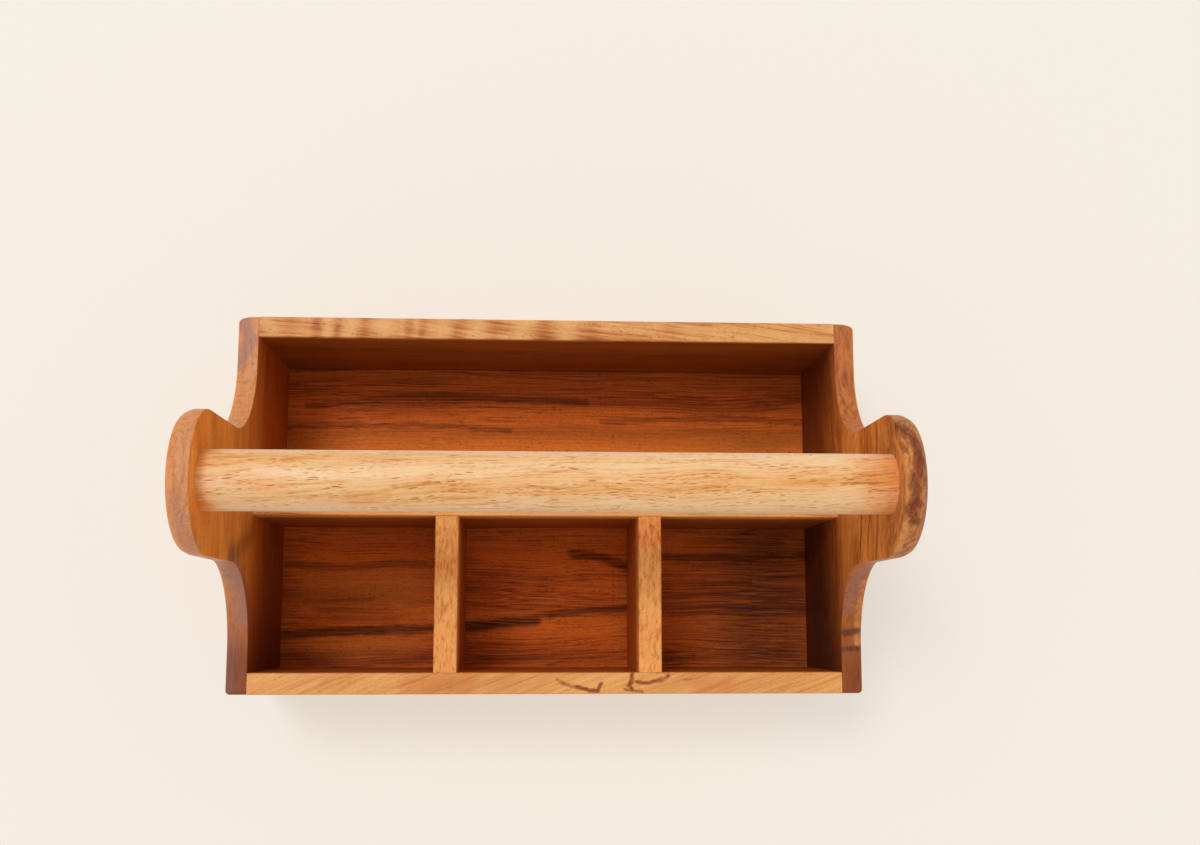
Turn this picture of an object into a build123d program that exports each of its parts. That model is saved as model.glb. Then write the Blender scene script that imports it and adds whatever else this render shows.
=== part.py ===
from build123d import *
from collections import namedtuple
import os

# Utensil caddy of solid hardwood boards with a round handle. Millimetres, +Z up.
# The origin is on the table, under the middle of the caddy. Its length runs along X, the one
# long compartment is on the +Y side (rear), and the row of short ones is on the -Y side (front).

# ---- Driving dimensions ----------------------------------------------------------------------

# Compartments, measured inside
front_compartment_count = 3
front_compartment_length = 86.0
front_compartment_depth = 74.0
rear_compartment_depth = 75.0
compartment_height = 77.0

# Boards
end_thickness = 10.0
wall_thickness = 10.0
divider_thickness = 11.0
bottom_thickness = 10.0
divider_step = 0.5         # the dividers stop this far below the rim

# Outline of the end panels
overall_height = 200.0
head_radius = 30.0         # round top of the upright that holds the handle
flare_radius = 38.0        # hollow sweep from the rim up into the upright
rim_corner_radius = 2.0    # where the rim turns down at the front and rear
outer_round = 3.0          # rounding of the outer edges
arris = 0.8                # sanded edges along the tops of walls and dividers

# Handle
handle_diameter = 25.0
handle_drop = 22.0         # from the top of the head down to the handle's axis

# Joints hidden in the wood
rebate_depth = 5.0         # how far the bottom board is let into the walls and end panels
pin_diameter = 6.0
pin_end_grain_depth = 16.0
blind_skin = 3.0           # wood left behind a blind bore or the handle's socket
pin_above_floor = 16.0
pin_below_rim = 20.0

# Clearances
glue_gap = 0.1             # per side, between a glued part and the seat that it is let into
pin_end_gap = 0.5          # room for glue at each end of a joint pin

# ---- Sizes that follow -----------------------------------------------------------------------

inner_length = (front_compartment_count * front_compartment_length
                + (front_compartment_count - 1) * divider_thickness)
inner_depth = front_compartment_depth + divider_thickness + rear_compartment_depth
outer_depth = inner_depth + 2 * wall_thickness
rim_height = bottom_thickness + compartment_height
divider_height = compartment_height - divider_step
front_face_y = -inner_depth / 2
rear_face_y = inner_depth / 2
front_wall_y = front_face_y - wall_thickness / 2
rear_wall_y = rear_face_y + wall_thickness / 2
centre_divider_y = front_face_y + front_compartment_depth + divider_thickness / 2
cross_pitch = front_compartment_length + divider_thickness
cross_xs = [
    (index - (front_compartment_count - 2) / 2) * cross_pitch
    for index in range(front_compartment_count - 1)
]
handle_height = overall_height - handle_drop
pin_heights = (bottom_thickness + pin_above_floor, rim_height - pin_below_rim)

# A pinned joint: where the pin crosses from the end of one board into the face of the next,
# which way it goes in, and how deep that face is bored.
PinJoint = namedtuple("PinJoint", "seat direction face_depth")


def pinned_ends(y):
    """Joints that hold a lengthwise board at y between the two end panels."""
    depth = end_thickness - blind_skin
    return [
        PinJoint((side * inner_length / 2, y, z), (side, 0, 0), depth)
        for side in (-1, 1)
        for z in pin_heights
    ]


def pinned_cross_divider(x):
    """Joints that hold a cross divider at x between the front wall and the centre divider."""
    divider_face_y = centre_divider_y - divider_thickness / 2
    wall_joints = [
        PinJoint((x, front_face_y, z), (0, -1, 0), wall_thickness - blind_skin)
        for z in pin_heights
    ]
    divider_joints = [
        PinJoint((x, divider_face_y, z), (0, 1, 0), divider_thickness - blind_skin)
        for z in pin_heights
    ]
    return wall_joints + divider_joints


def joint_cylinder(joint, radius, end_gap):
    """Round bar through a pinned joint, short of the bored depth by end_gap at both ends."""
    direction = Vector(*joint.direction)
    start = Vector(*joint.seat) - direction * (pin_end_grain_depth - end_gap)
    length = pin_end_grain_depth + joint.face_depth - 2 * end_gap
    bar = Cylinder(radius, length, align=(Align.CENTER, Align.CENTER, Align.MIN))
    return Plane(origin=start, z_dir=direction) * bar


def bore(board, joints):
    """Cut the blind bores of the joints into a board."""
    for joint in joints:
        board -= joint_cylinder(joint, pin_diameter / 2 + glue_gap, 0)
    return board


def pins(joints):
    """The wooden pins of the joints, as separate solids."""
    return Compound(children=[joint_cylinder(joint, pin_diameter / 2, pin_end_gap) for joint in joints])


def rounded_top(board, axis):
    """Sand the two long top edges of a board that runs along the axis."""
    top_edges = board.edges().filter_by(axis).group_by(Axis.Z)[-1]
    return fillet(top_edges, arris)


def bottom_slab(gap):
    """Block of the bottom board's place, smaller by the gap all round."""
    length = inner_length + 2 * rebate_depth - 2 * gap
    depth = inner_depth + 2 * rebate_depth - 2 * gap
    return Box(length, depth, bottom_thickness, align=(Align.CENTER, Align.CENTER, Align.MIN))


def end_outline():
    """Outline of an end panel, drawn on its right half in (y, z) and mirrored."""
    half_depth = outer_depth / 2
    rim_end = head_radius + flare_radius
    with BuildSketch(Plane.YZ) as outline:
        with BuildLine():
            base = Line((0, 0), (half_depth, 0))
            edge = Line(base @ 1, (half_depth, rim_height - rim_corner_radius))
            corner = JernArc(edge @ 1, edge % 1, rim_corner_radius, 90)
            rim = Line(corner @ 1, (rim_end, rim_height))
            flare = JernArc(rim @ 1, rim % 1, flare_radius, -90)
            upright = Line(flare @ 1, (head_radius, overall_height - head_radius))
            JernArc(upright @ 1, upright % 1, head_radius, 90)
            mirror(about=Plane.YZ)
        make_face()
    return outline.sketch


def handle_bar(radius, end_gap):
    """Round bar of the handle's place, from socket floor to socket floor less the gaps."""
    length = inner_length + 2 * (end_thickness - blind_skin) - 2 * end_gap
    return Pos(0, 0, handle_height) * Rot(0, 90, 0) * Cylinder(radius, length)


def end_panel(side):
    """End panel on the -X (side -1) or the +X side (side 1)."""
    inner_face_x = side * inner_length / 2
    board = extrude(Pos(inner_face_x, 0, 0) * end_outline(), side * end_thickness)
    outer_face = board.faces().sort_by(Axis.X)[-1 if side > 0 else 0]
    base_edge = outer_face.edges().sort_by(Axis.Z)[0]
    upper_edges = [edge for edge in outer_face.edges() if edge != base_edge]
    board = fillet(upper_edges, outer_round)
    board -= bottom_slab(0)
    board -= handle_bar(handle_diameter / 2 + glue_gap, 0)
    for y in (front_wall_y, rear_wall_y, centre_divider_y):
        board = bore(board, pinned_ends(y))
    return board


def long_wall(y, crossing_joints):
    """Front or rear wall, standing between the end panels."""
    block = Box(inner_length, wall_thickness, rim_height, align=(Align.CENTER, Align.CENTER, Align.MIN))
    wall = rounded_top(Pos(0, y, 0) * block, Axis.X)
    wall -= bottom_slab(0)
    return bore(wall, pinned_ends(y) + crossing_joints)


def centre_divider(crossing_joints):
    """Lengthwise divider between the rear compartment and the front ones."""
    block = Box(inner_length, divider_thickness, divider_height, align=(Align.CENTER, Align.CENTER, Align.MIN))
    divider = rounded_top(Pos(0, centre_divider_y, bottom_thickness) * block, Axis.X)
    return bore(divider, pinned_ends(centre_divider_y) + crossing_joints)


def cross_divider(x):
    """Short divider between two front compartments."""
    block = Box(divider_thickness, front_compartment_depth, divider_height,
                align=(Align.CENTER, Align.MIN, Align.MIN))
    divider = rounded_top(Pos(x, front_face_y, bottom_thickness) * block, Axis.Y)
    return bore(divider, pinned_cross_divider(x))


crossing_joints = [joint for x in cross_xs for joint in pinned_cross_divider(x)]

parts = {
    "end_panel_left": end_panel(-1),
    "end_panel_right": end_panel(1),
    "front_wall": long_wall(front_wall_y, crossing_joints),
    "rear_wall": long_wall(rear_wall_y, []),
    "bottom_board": bottom_slab(glue_gap),
    "centre_divider": centre_divider(crossing_joints),
    "handle_dowel": handle_bar(handle_diameter / 2, glue_gap),
    "front_wall_pins": pins(pinned_ends(front_wall_y)),
    "rear_wall_pins": pins(pinned_ends(rear_wall_y)),
    "centre_divider_pins": pins(pinned_ends(centre_divider_y)),
}
for index, x in enumerate(cross_xs, start=1):
    parts[f"cross_divider_{index}"] = cross_divider(x)
    parts[f"cross_divider_{index}_pins"] = pins(pinned_cross_divider(x))

os.makedirs("parts", exist_ok=True)
for name, shape in parts.items():
    export_step(shape, f"parts/{name}.step")
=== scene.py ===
import math
from dataclasses import dataclass, replace

import bmesh
import bpy
from bpy.props import FloatProperty, FloatVectorProperty, PointerProperty
from mathutils import Euler, Matrix, Vector


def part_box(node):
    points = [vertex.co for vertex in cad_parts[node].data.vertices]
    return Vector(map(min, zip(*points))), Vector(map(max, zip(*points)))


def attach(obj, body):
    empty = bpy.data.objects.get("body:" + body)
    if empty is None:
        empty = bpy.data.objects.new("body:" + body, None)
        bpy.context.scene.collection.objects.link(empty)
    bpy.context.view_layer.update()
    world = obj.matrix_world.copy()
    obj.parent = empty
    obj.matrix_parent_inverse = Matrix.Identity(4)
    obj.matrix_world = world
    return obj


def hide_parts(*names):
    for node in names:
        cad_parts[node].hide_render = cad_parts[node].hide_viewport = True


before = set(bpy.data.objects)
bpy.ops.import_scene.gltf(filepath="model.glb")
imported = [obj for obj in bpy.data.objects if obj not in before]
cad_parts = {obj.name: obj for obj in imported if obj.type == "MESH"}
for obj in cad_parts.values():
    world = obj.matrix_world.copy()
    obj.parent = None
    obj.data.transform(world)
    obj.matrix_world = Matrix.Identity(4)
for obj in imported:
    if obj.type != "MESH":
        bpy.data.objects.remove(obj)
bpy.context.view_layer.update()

bl_info = {
    "name": "Acacia Utensil Caddy",
    "version": (1, 0, 0),
    "blender": (4, 5, 0),
    "location": "3D View > Sidebar > Caddy",
    "description": "Builds an open acacia caddy with four compartments and a round handle",
    "category": "Add Mesh",
}

BODY = "root"
MM = 0.001
RIM_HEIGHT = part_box("front_wall")[1].z
INNER_FACE_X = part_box("rear_wall")[1].x
INNER_FACE_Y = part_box("rear_wall")[0].y
GLUE_GAP = Vector((0.1, 0.1, 0.1)) * MM
RIM = 87                           # height of the rim in millimetres, for the marks in the wood
FLOOR = 10                         # height of the compartments' floor in millimetres
SAME_PLACE = 1e-6                  # metres within which two points count as one
SHARP_ANGLE = math.radians(40)

# How finely the round forms are divided
FLARE_SEGMENTS = 28
HEAD_SEGMENTS = 24
CORNER_SEGMENTS = 5
OUTER_SEGMENTS = 8
ARRIS_SEGMENTS = 3
BAR_SEGMENTS = 96
SANDED_RINGS = 5

TABLE_SIZE = 60.0                  # metres, so that its edge lies past the horizon of a low view
TABLE_DROP = 0.3 * MM
WINDOW_DIRECTION = (-0.32, 0.32, 1.0)

# The photograph's camera, in its own pixels, millimetres and degrees
PHOTO_WIDTH = 1200
FOCAL_LENGTH = 1258.3
FRAME_SHIFT = 40
CAMERA_PLACE = (-7.24, -57.65, 687.95)
CAMERA_TURN = (7.350, -3.024, 0.010)
SENSOR_WIDTH = 36.0


# ---- Sizes and colours that a user may change --------------------------------------------------

def linear(hex_colour):
    """Linear RGBA of an sRGB hex colour such as #d89860."""
    channels = [int(hex_colour[start:start + 2], 16) / 255 for start in (1, 3, 5)]
    return (*(c / 12.92 if c <= 0.04045 else ((c + 0.055) / 1.055) ** 2.4 for c in channels), 1.0)


def length_property(name, description, default):
    return FloatProperty(name=name, description=description, default=default, min=0.0,
                         subtype="DISTANCE", unit="LENGTH")


def colour_property(name, description, hex_colour):
    return FloatVectorProperty(name=name, description=description, default=linear(hex_colour),
                               size=4, min=0.0, max=1.0, subtype="COLOR")


class CaddySizes(bpy.types.PropertyGroup):
    head_radius: length_property(
        "Head radius", "Round top of the uprights that hold the handle", 30 * MM)
    flare_radius: length_property(
        "Flare radius", "Hollow sweep from the rim into the upright", 38 * MM)
    rim_corner: length_property(
        "Rim corner", "Where the rim turns down at front and rear", 2 * MM)
    corner_reach: length_property(
        "Rear corner reach", "How far in the rear corners are sanded", 6.5 * MM)
    corner_sweep: length_property(
        "Rear corner sweep", "How much is sanded off the rear corners", 1.7 * MM)
    outer_round: length_property(
        "Outer rounding", "Rounding of the end panels' outer edges", 3 * MM)
    head_round: length_property(
        "Head rounding", "Wider rounding of the heads' outer edges", 6 * MM)
    arris: length_property("Arris", "Sanded edges of the boards", 0.8 * MM)


# The early wood, late wood and vessels of each board
BOARD_TONES = {
    "handle": ("Handle", "#f3cb9a", "#e6a050", "#b4600c"),
    "rear": ("Rear wall", "#eab06e", "#cf8540", "#94501f"),
    "front": ("Front wall", "#ebac66", "#d9904a", "#a0561e"),
    "divider": ("Dividers", "#f6b064", "#e99548", "#a4581e"),
    "left": ("Left panel", "#fda046", "#ee8c36", "#9a4714"),
    "right": ("Right panel", "#f89e4a", "#dc7830", "#6a2c10"),
    "bottom": ("Bottom board", "#f67a24", "#cc5816", "#481c08"),
    "pin": ("Pins", "#e3c79c", "#d2ae7e", "#b08a5c"),
}
TONES = {"pale": "Early wood", "mid": "Late wood", "dark": "Vessels and dark wood"}

# Colours of single places and marks
MARK_COLOURS = {
    # Edge colours: paler end grain with painted sheen
    "left_edge": ("Left panel, edges", "Edges of the left end panel, rubbed paler", "#d29568"),
    "right_edge": ("Right panel, edges", "Edges of the right end panel, rubbed paler", "#c1713a"),
    "heart": ("Heartwood streaks", "Near-black mineral streaks in acacia", "#4a1f0a"),
    # Painted sheen: the grey-violet reflection of the room on the end panels' edges
    "painted_mauve_sheen": ("Mauve bloom", "Grey-violet bloom on the panels' edges", "#95706e"),
    "figure": ("Figure, dark", "Dark streaks of the swirling figure", "#6e3216"),
    # Flame: bright streaks of the swirling figure, and painted highlights along the right head's
    # arrises
    "flame": ("Figure, pale", "Bright streaks of the swirling figure", "#e09450"),
    # Amber: orange streaks in the wood, painted light on the compartments' floor, and the orange
    # of the painted shadow at the handle's left end
    "amber_and_painted_light": ("Amber streaks", "Bright orange streaks in the bottom board", "#ee8a30"),
    # Umber: dark brown fibres and streaks in the wood, and painted shade low on the inner faces
    # and on the floor along the walls and dividers
    "umber": ("Umber", "Deep brown wood low on the inner faces", "#40261a"),
    "resin": ("Resin lines", "Thin brown lines in the front wall", "#8a3e12"),
    "gold": ("Gold figure", "Pale bars of the curly figure", "#eab474"),
    # Painted sheen: pale pinkish reflection along the handle's sides
    "painted_handle_sheen": ("Sapwood", "Pale pinkish sapwood along the handle", "#f0d2b0"),
    # Painted shade: a tint laid on the inner faces, deeper the lower they lie
    "inside": ("Inside, deepened", "Tint of the inner faces, not rubbed pale by hands", "#cc9a6c"),
    "floor": ("Table", "Pale table top under the caddy", "#f4ede1"),
}


class CaddyColours(bpy.types.PropertyGroup):
    __annotations__ = {
        f"{board}_{tone}": colour_property(f"{title}, {tone}", f"{use} of this piece", hex_colour)
        for board, (title, *hex_colours) in BOARD_TONES.items()
        for (tone, use), hex_colour in zip(TONES.items(), hex_colours)
    } | {name: colour_property(*entry) for name, entry in MARK_COLOURS.items()}


class CaddyLight(bpy.types.PropertyGroup):
    key_strength: FloatProperty(
        name="Window light", description="Soft light from the rear left", default=1.1, min=0.0)
    key_angle: FloatProperty(
        name="Window width", description="How wide the window looks from the table",
        default=math.radians(20), min=0.0, subtype="ANGLE")
    sky_strength: FloatProperty(
        name="Room light", description="Even white light from the room", default=0.7, min=0.0)


# ---- Geometry ----------------------------------------------------------------------------------

def new_piece(name, shape, material, *nodes):
    """Turn a bmesh into a smooth-shaded object that stands for the CAD nodes."""
    bmesh.ops.recalc_face_normals(shape, faces=shape.faces)
    mesh = bpy.data.meshes.new(name)
    shape.to_mesh(mesh)
    shape.free()
    mesh.shade_smooth()
    mesh.set_sharp_from_angle(angle=SHARP_ANGLE)
    mesh.materials.append(material)
    piece = bpy.data.objects.new(name, mesh)
    bpy.context.scene.collection.objects.link(piece)
    normals = piece.modifiers.new("Flat faces stay flat", "WEIGHTED_NORMAL")
    normals.keep_sharp = True
    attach(piece, BODY)
    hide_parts(*nodes)
    return piece


def bevel_edges(shape, edges, width, segments):
    bmesh.ops.bevel(shape, geom=edges, offset=width, offset_type="OFFSET", affect="EDGES",
                    segments=segments, profile=0.5, material=-1, clamp_overlap=True)


def round_corners(shape, corners, radius, segments):
    bmesh.ops.bevel(shape, geom=corners, offset=radius, offset_type="OFFSET", affect="VERTICES",
                    segments=segments, profile=0.5, material=-1, clamp_overlap=False)


def board(low, high):
    """Bmesh of a plain rectangular board between two corners."""
    shape = bmesh.new()
    bmesh.ops.create_cube(shape, size=1.0)
    bmesh.ops.scale(shape, vec=high - low, verts=shape.verts)
    bmesh.ops.translate(shape, vec=(low + high) / 2, verts=shape.verts)
    return shape


def top_edges(shape, along):
    """The edges of a board's top face that run along axis number `along`."""
    top = max(vert.co.z for vert in shape.verts)
    return [
        edge for edge in shape.edges
        if all(abs(vert.co.z - top) < SAME_PLACE for vert in edge.verts)
        and abs((edge.verts[1].co - edge.verts[0].co).normalized()[along]) > 0.9
    ]


def end_outline(low, high, sizes):
    """Bmesh with one face: an end panel's outline at x = 0, its corners rounded with arcs."""
    half = sizes.head_radius
    corners = [
        (low.y, low.z), (high.y, low.z), (high.y, RIM_HEIGHT), (half, RIM_HEIGHT),
        (half, high.z), (-half, high.z), (-half, RIM_HEIGHT), (low.y, RIM_HEIGHT),
    ]
    shape = bmesh.new()
    shape.faces.new([shape.verts.new((0, y, z)) for y, z in corners])

    def near(y, z):
        return [vert for vert in shape.verts
                if max(abs(abs(vert.co.y) - y), abs(vert.co.z - z)) < SAME_PLACE]

    round_corners(shape, near(half, RIM_HEIGHT), sizes.flare_radius, FLARE_SEGMENTS)
    round_corners(shape, near(half, high.z), half, HEAD_SEGMENTS)
    bmesh.ops.remove_doubles(shape, verts=shape.verts, dist=SAME_PLACE)
    round_corners(shape, near(high.y, RIM_HEIGHT), sizes.rim_corner, CORNER_SEGMENTS)
    return shape


def end_panel(low, high, sizes, outward):
    """End panel between two corners, whose outer face looks along outward (-1 or 1 in X)."""
    outer_x, inner_x = (low.x, high.x) if outward < 0 else (high.x, low.x)
    shape = end_outline(low, high, sizes)
    bmesh.ops.translate(shape, vec=(outer_x, 0, 0), verts=shape.verts)
    grown = bmesh.ops.extrude_face_region(shape, geom=shape.faces[:])
    moved = [item for item in grown["geom"] if isinstance(item, bmesh.types.BMVert)]
    bmesh.ops.translate(shape, vec=(inner_x - outer_x, 0, 0), verts=moved)
    bmesh.ops.recalc_face_normals(shape, faces=shape.faces)
    roundings = (
        (outer_x, low.z, sizes.outer_round, OUTER_SEGMENTS),
        (inner_x, RIM_HEIGHT - sizes.rim_corner, sizes.arris / 2, ARRIS_SEGMENTS),
    )
    for x, floor_z, width, segments in roundings:
        edges = [
            edge for edge in shape.edges
            if all(abs(vert.co.x - x) < SAME_PLACE for vert in edge.verts)
            and max(vert.co.z for vert in edge.verts) > floor_z + SAME_PLACE
            and min(vert.co.z for vert in edge.verts) > floor_z - SAME_PLACE
        ]
        bevel_edges(shape, edges, width, segments)
    soften_rear_corner(shape, high, sizes)
    round_over_head(shape, high, sizes)
    return shape


def soften_rear_corner(shape, high, sizes):
    """Sand the outer rear corner back in a long soft curve, from within the thickness out."""
    outside = max(abs(vert.co.x) for vert in shape.verts)
    side = 1 if max(vert.co.x for vert in shape.verts) > 0 else -1
    for ring in range(SANDED_RINGS):
        x = side * (outside - sizes.corner_reach * (1 - ring / SANDED_RINGS))
        bmesh.ops.bisect_plane(shape, geom=shape.verts[:] + shape.edges[:] + shape.faces[:],
                               plane_co=(x, 0, 0), plane_no=(1, 0, 0))
    forward = 3 * sizes.corner_sweep
    for vert in shape.verts:
        out = 1 - (outside - abs(vert.co.x)) / sizes.corner_reach
        if out > 0 and vert.co.y > high.y - forward:
            near = 1 - (high.y - vert.co.y) / forward
            vert.co.y -= sizes.corner_sweep * out ** 2 * near


def inset(radius, depth):
    """How far a rounding of this radius draws in an outline at a depth below the face."""
    left = max(radius - depth, 0)
    return radius - math.sqrt(radius ** 2 - left ** 2)


def round_over_head(shape, high, sizes):
    """Widen the rounding of the outer edge round the head, fading out down the neck."""
    outside = max(abs(vert.co.x) for vert in shape.verts)
    centre_z = high.z - sizes.head_radius
    fade_low, fade_high = RIM_HEIGHT + sizes.flare_radius / 3, centre_z
    for vert in shape.verts:
        depth = outside - abs(vert.co.x)
        share = min(max((vert.co.z - fade_low) / (fade_high - fade_low), 0), 1)
        if depth < sizes.head_round and share > 0:
            out = Vector((0, vert.co.y, max(vert.co.z - centre_z, 0))).normalized()
            wider = inset(sizes.head_round, depth) - inset(sizes.outer_round, depth)
            vert.co -= out * share * wider


def round_bar(low, high):
    """Round bar along X between two corners."""
    shape = bmesh.new()
    radius = (high.z - low.z) / 2
    bmesh.ops.create_cone(shape, cap_ends=True, segments=BAR_SEGMENTS, radius1=radius,
                          radius2=radius, depth=high.x - low.x)
    bmesh.ops.rotate(shape, cent=(0, 0, 0), matrix=Matrix.Rotation(math.pi / 2, 3, "Y"),
                     verts=shape.verts)
    bmesh.ops.translate(shape, vec=(low + high) / 2, verts=shape.verts)
    return shape


def cut_away(shape, cutter):
    """Cut one closed bmesh out of another, as a rebate is cut. The cutter is used up."""
    meshes = []
    for source in (shape, cutter):
        bmesh.ops.recalc_face_normals(source, faces=source.faces)
        mesh = bpy.data.meshes.new("cutting")
        source.to_mesh(mesh)
        meshes.append(mesh)
    cutter.free()
    blank, tool = (bpy.data.objects.new("cutting", mesh) for mesh in meshes)
    for item in (blank, tool):
        bpy.context.scene.collection.objects.link(item)
    cut = blank.modifiers.new("Cut", "BOOLEAN")
    cut.operation, cut.solver, cut.object = "DIFFERENCE", "EXACT", tool
    graph = bpy.context.evaluated_depsgraph_get()
    shape.clear()
    shape.from_object(blank, graph)
    for item in (blank, tool):
        bpy.data.objects.remove(item)
    for mesh in meshes:
        bpy.data.meshes.remove(mesh)


# ---- Materials ---------------------------------------------------------------------------------

# How the sockets are numbered below. Map Range: 0 the value, 1 and 2 the ends that it comes from,
# 3 and 4 the ends that it goes to. Mix: 0 the share, 4 and 5 the vectors, 6 and 7 the colours.

def add(tree, kind, inputs=(), **settings):
    """Add a shader node with its settings, and give its outputs.

    Each input is a value, or the output that it is linked to."""
    node = tree.nodes.new("ShaderNode" + kind)
    for name, value in settings.items():
        setattr(node, name, value)
    for key, value in dict(inputs).items():
        if isinstance(value, bpy.types.NodeSocket):
            tree.links.new(value, node.inputs[key])
        else:
            node.inputs[key].default_value = value
    return node.outputs


@dataclass
class Cut:
    """How one board was cut from the log. Lengths are in millimetres and angles in degrees."""
    turn: tuple = (0, 0, 0)        # turns the board so that its grain runs along X
    side_turn: tuple = None        # the same for upright faces, where the grain slants on top only
    pith: tuple = (0, -60, -70)    # shift to the middle of the log, after turning
    ring_spacing: float = 7.0
    ring_share: float = 0.22       # how much the growth rings show in the tone
    band_share: float = 0.5        # how much broad bands along the grain show
    wander: float = 5.0            # how far the grain lines sway sideways
    fibre: tuple = (60, 1.3, 1.3)
    dark_from: float = 0.66        # tone at which the dark wood starts to show
    dark_share: float = 0.5
    vessel: tuple = (3.6, 0.75, 0.75)  # a dash is half as large; drawn twice as wide as real ones
    vessel_share: float = 0.5
    vessel_strength: float = 0.7
    hairlines: float = 0.45        # strength of the thin dark lines between the fibres
    curl: float = 0.0              # strength of the ripple figure across the grain
    curl_spacing: float = 9.0
    shade: tuple = (84, 45)        # heights between which painted shade deepens the inner faces
    shade_share: float = 1.0
    shade_depth: float = 1.0       # below 1 deepens the painted shade on the inner faces further
    front_dark: float = 0.0        # how much darker the board is towards the front
    roughness: float = 0.45
    gloss: float = 0.35
    polish: float = 0.0            # coat where hands have rubbed the oil to a shine
    bloom: float = 0.0             # pale sheen of fine sanding, seen at a slant
    tints: tuple = ()              # pairs of a colour and the Marks that are drawn in it
    bars: tuple = ()               # Marks in the board's own darker tone: darker figure, and painted shadow on the handle and cross dividers
    painted_shade_marks: tuple = ()             # Marks of painted shade in umber, on the inner faces only
    fray: float = 0.5              # how far the marks break up along the fibres
    cloud: float = 0.0             # strength of soft cloudy patches
    cloud_size: tuple = (18, 11, 11)
    pores: float = 0.22            # strength of the finest short lines
    swirl: float = 0.0             # strength of the swirling figure
    swirl_heights: tuple = (95, 125)  # heights over which the swirling figure comes in
    edge_contrast: float = 0.5     # how strongly the figure shows on the paler edges


@dataclass
class Mark:
    """A soft line in the wood, through points in millimetres."""
    points: tuple
    width: float
    strength: float = 1.0
    core: float = 0.3              # share of the width that has the full strength


# Lengths in millimetres along the grain, across it and up
SWAY = (110, 45, 45)               # slow sway of the grain lines
BANDS = (210, 9, 9)                # broad bands of lighter and darker wood
CROWDS = (26, 3.2, 3.2)            # patches where the vessels crowd
PORES = (1.9, 0.6, 0.6)            # the finest pores, drawn twice as wide as real ones
VEINS = (16, 1.8, 1.8)             # dark veins on the rubbed edges
SWIRLS = (19, 15, 15)              # bends of the swirling figure
SWIRL_REACH = (30, 26, 26)         # how far a bend carries a streak
SWIRL_STREAKS = (17, 2.6, 2.6)
CURL_LENGTHS = (60, 40)            # bars of the curly figure, across the grain and up

RING_TURN = 2 * math.pi / 20       # the ring pattern repeats once in this length at a scale of 1
WOBBLE = (6, 4, 4)                 # how far the marks wander from their points, in millimetres
WOBBLE_SCALE = 0.09                # bends of that wandering per millimetre
FORWARD = (-80 * MM, -25 * MM)     # places in Y between which a board darkens to the front
EDGE_SHEEN_HEIGHTS = (50 * MM, 86 * MM)       # heights between which the edges grow paler, with more painted sheen
FACE_SKIN = 0.3 * MM               # how far outside an inner face still counts as on it
BUMP_DEPTH = 0.08 * MM


def lay_over(tree, colour, layers):
    """Lay layers over a colour. Each is its share, its colour and how it is blended."""
    for share, layer, blend in layers:
        colour = add(tree, "Mix", {0: share, 6: colour, 7: layer},
                     data_type="RGBA", blend_type=blend)[2]
    return colour


def streaks(tree, space, lengths, detail=2.0, roughness=0.5, turn=0.0):
    """Soft random pattern whose spots have these lengths along X, Y and Z of the space."""
    scaled = add(tree, "Mapping", {"Vector": space, "Rotation": (0, 0, turn),
                                   "Scale": tuple(1 / length for length in lengths)})[0]
    return add(tree, "TexNoise", {"Vector": scaled, "Scale": 1.0, "Detail": detail,
                                  "Roughness": roughness})


def place(tree):
    """Position along X, Y and Z in metres."""
    return add(tree, "SeparateXYZ", {0: add(tree, "TexCoord")["Object"]})


def grain_space(tree, cut):
    """Position in millimetres with the grain along X: as it sways in the tree, and straight."""
    position = add(tree, "TexCoord")["Object"]
    turned = [
        add(tree, "Mapping", {
            "Vector": position, "Location": cut.pith, "Scale": (1 / MM, 1 / MM, 1 / MM),
            "Rotation": tuple(math.radians(angle) for angle in turn)})[0]
        for turn in (cut.turn, cut.side_turn) if turn is not None
    ]
    straight = turned[0]
    if cut.side_turn is not None:
        upward = add(tree, "SeparateXYZ", {0: add(tree, "NewGeometry")["True Normal"]})[2]
        level = add(tree, "Math", {0: upward, 1: 0.7}, operation="GREATER_THAN")[0]
        straight = add(tree, "Mix", {0: level, 4: turned[1], 5: turned[0]},
                       data_type="VECTOR")[1]
    sway = streaks(tree, straight, SWAY, 2.0, 0.45)["Color"]
    centred = add(tree, "VectorMath", {0: sway, 1: (0.5, 0.5, 0.5)}, operation="SUBTRACT")[0]
    reach = (0, 2 * cut.wander, 2 * cut.wander)
    swayed = add(tree, "VectorMath", {0: centred, 1: reach, 2: straight},
                 operation="MULTIPLY_ADD")[0]
    return swayed, straight


def ripeness(tree, space, lines, cut):
    """Tone of the wood from 0 early to 1 late: fibres, broad bands and growth rings together."""
    bands = streaks(tree, space, BANDS, 3.0, 0.6)["Fac"]
    rings = add(tree, "TexWave", {
        "Vector": space, "Scale": RING_TURN / cut.ring_spacing, "Distortion": 0.0},
        wave_type="RINGS", rings_direction="X", wave_profile="SIN")["Fac"]
    tone = lines
    for part, share in ((bands, cut.band_share), (rings, cut.ring_share)):
        tone = add(tree, "Math", {0: part, 1: share, 2: tone}, operation="MULTIPLY_ADD")[0]
    whole = 1 + cut.band_share + cut.ring_share
    middle, reach = 0.5 * whole, 0.16 * whole
    return add(tree, "MapRange", {0: tone, 1: middle - reach, 2: middle + reach, 3: 0.0, 4: 1.0},
               interpolation_type="SMOOTHSTEP")[0]


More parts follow.
